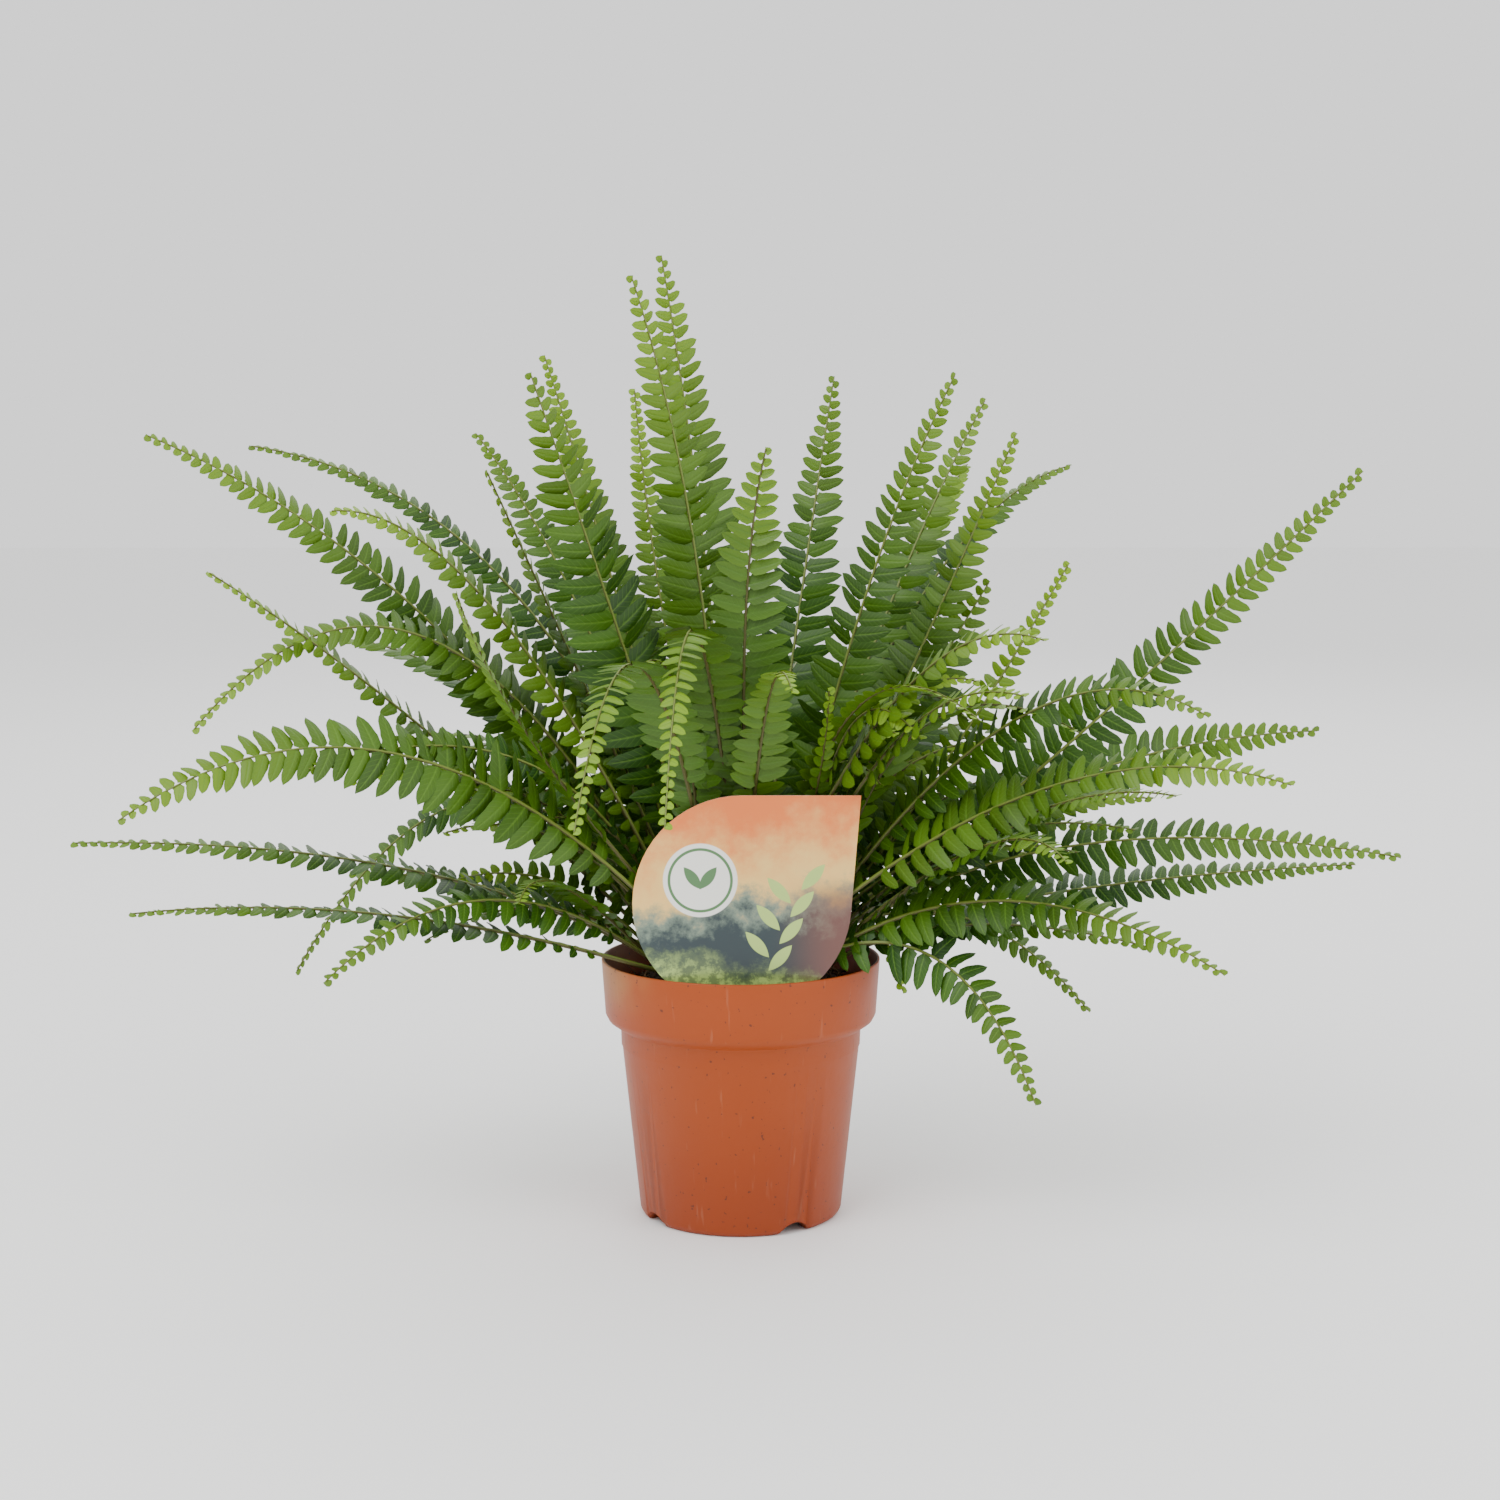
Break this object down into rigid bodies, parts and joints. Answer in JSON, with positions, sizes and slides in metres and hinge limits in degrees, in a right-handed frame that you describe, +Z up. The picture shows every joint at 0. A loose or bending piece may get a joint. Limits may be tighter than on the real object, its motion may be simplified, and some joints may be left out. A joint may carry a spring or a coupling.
{
  "type": "potted fern",
  "caption": "Sword fern with arching pinnate fronds growing from a rootstock in peat, in a round tapered plastic nursery pot with a stake label.",
  "frame": {"origin": "under the middle of the pot, on the surface it stands on", "axes": "+Z up; +X to the right and -Y to the front, where the label faces"},
  "size_m": [0.5662, 0.3661, 0.4132],
  "materials": {
    "pot_plastic": "satin terracotta-coloured moulded plastic",
    "peat": "rough dark peat with fibres",
    "rootstock": "rough brown scales",
    "label_card": "printed satin card",
    "foliage": "soft satin green leaf"
  },
  "bodies": {
    "root": {"pot": "pot_plastic", "soil": "peat", "crown": "rootstock", "plant_label": "label_card", "frond_01": "foliage", "frond_02": "foliage", "frond_03": "foliage", "frond_04": "foliage", "frond_05": "foliage", "frond_06": "foliage", "frond_07": "foliage", "frond_08": "foliage", "frond_09": "foliage", "frond_10": "foliage", "frond_11": "foliage", "frond_12": "foliage", "frond_13": "foliage", "frond_14": "foliage", "frond_15": "foliage", "frond_16": "foliage", "frond_17": "foliage", "frond_18": "foliage", "frond_19": "foliage", "frond_20": "foliage", "frond_21": "foliage", "frond_22": "foliage", "frond_23": "foliage", "frond_24": "foliage", "frond_25": "foliage", "frond_26": "foliage", "frond_27": "foliage", "frond_28": "foliage", "frond_29": "foliage", "frond_30": "foliage", "frond_31": "foliage", "frond_32": "foliage", "frond_33": "foliage", "frond_34": "foliage", "frond_35": "foliage", "frond_36": "foliage", "frond_37": "foliage", "frond_38": "foliage", "frond_39": "foliage", "frond_40": "foliage", "frond_41": "foliage", "frond_42": "foliage", "frond_43": "foliage", "frond_44": "foliage", "frond_45": "foliage", "frond_46": "foliage", "frond_47": "foliage", "frond_48": "foliage", "frond_49": "foliage", "frond_50": "foliage", "frond_51": "foliage", "frond_52": "foliage", "frond_53": "foliage", "frond_54": "foliage", "frond_55": "foliage", "frond_56": "foliage"}
  },
  "joints": []
}
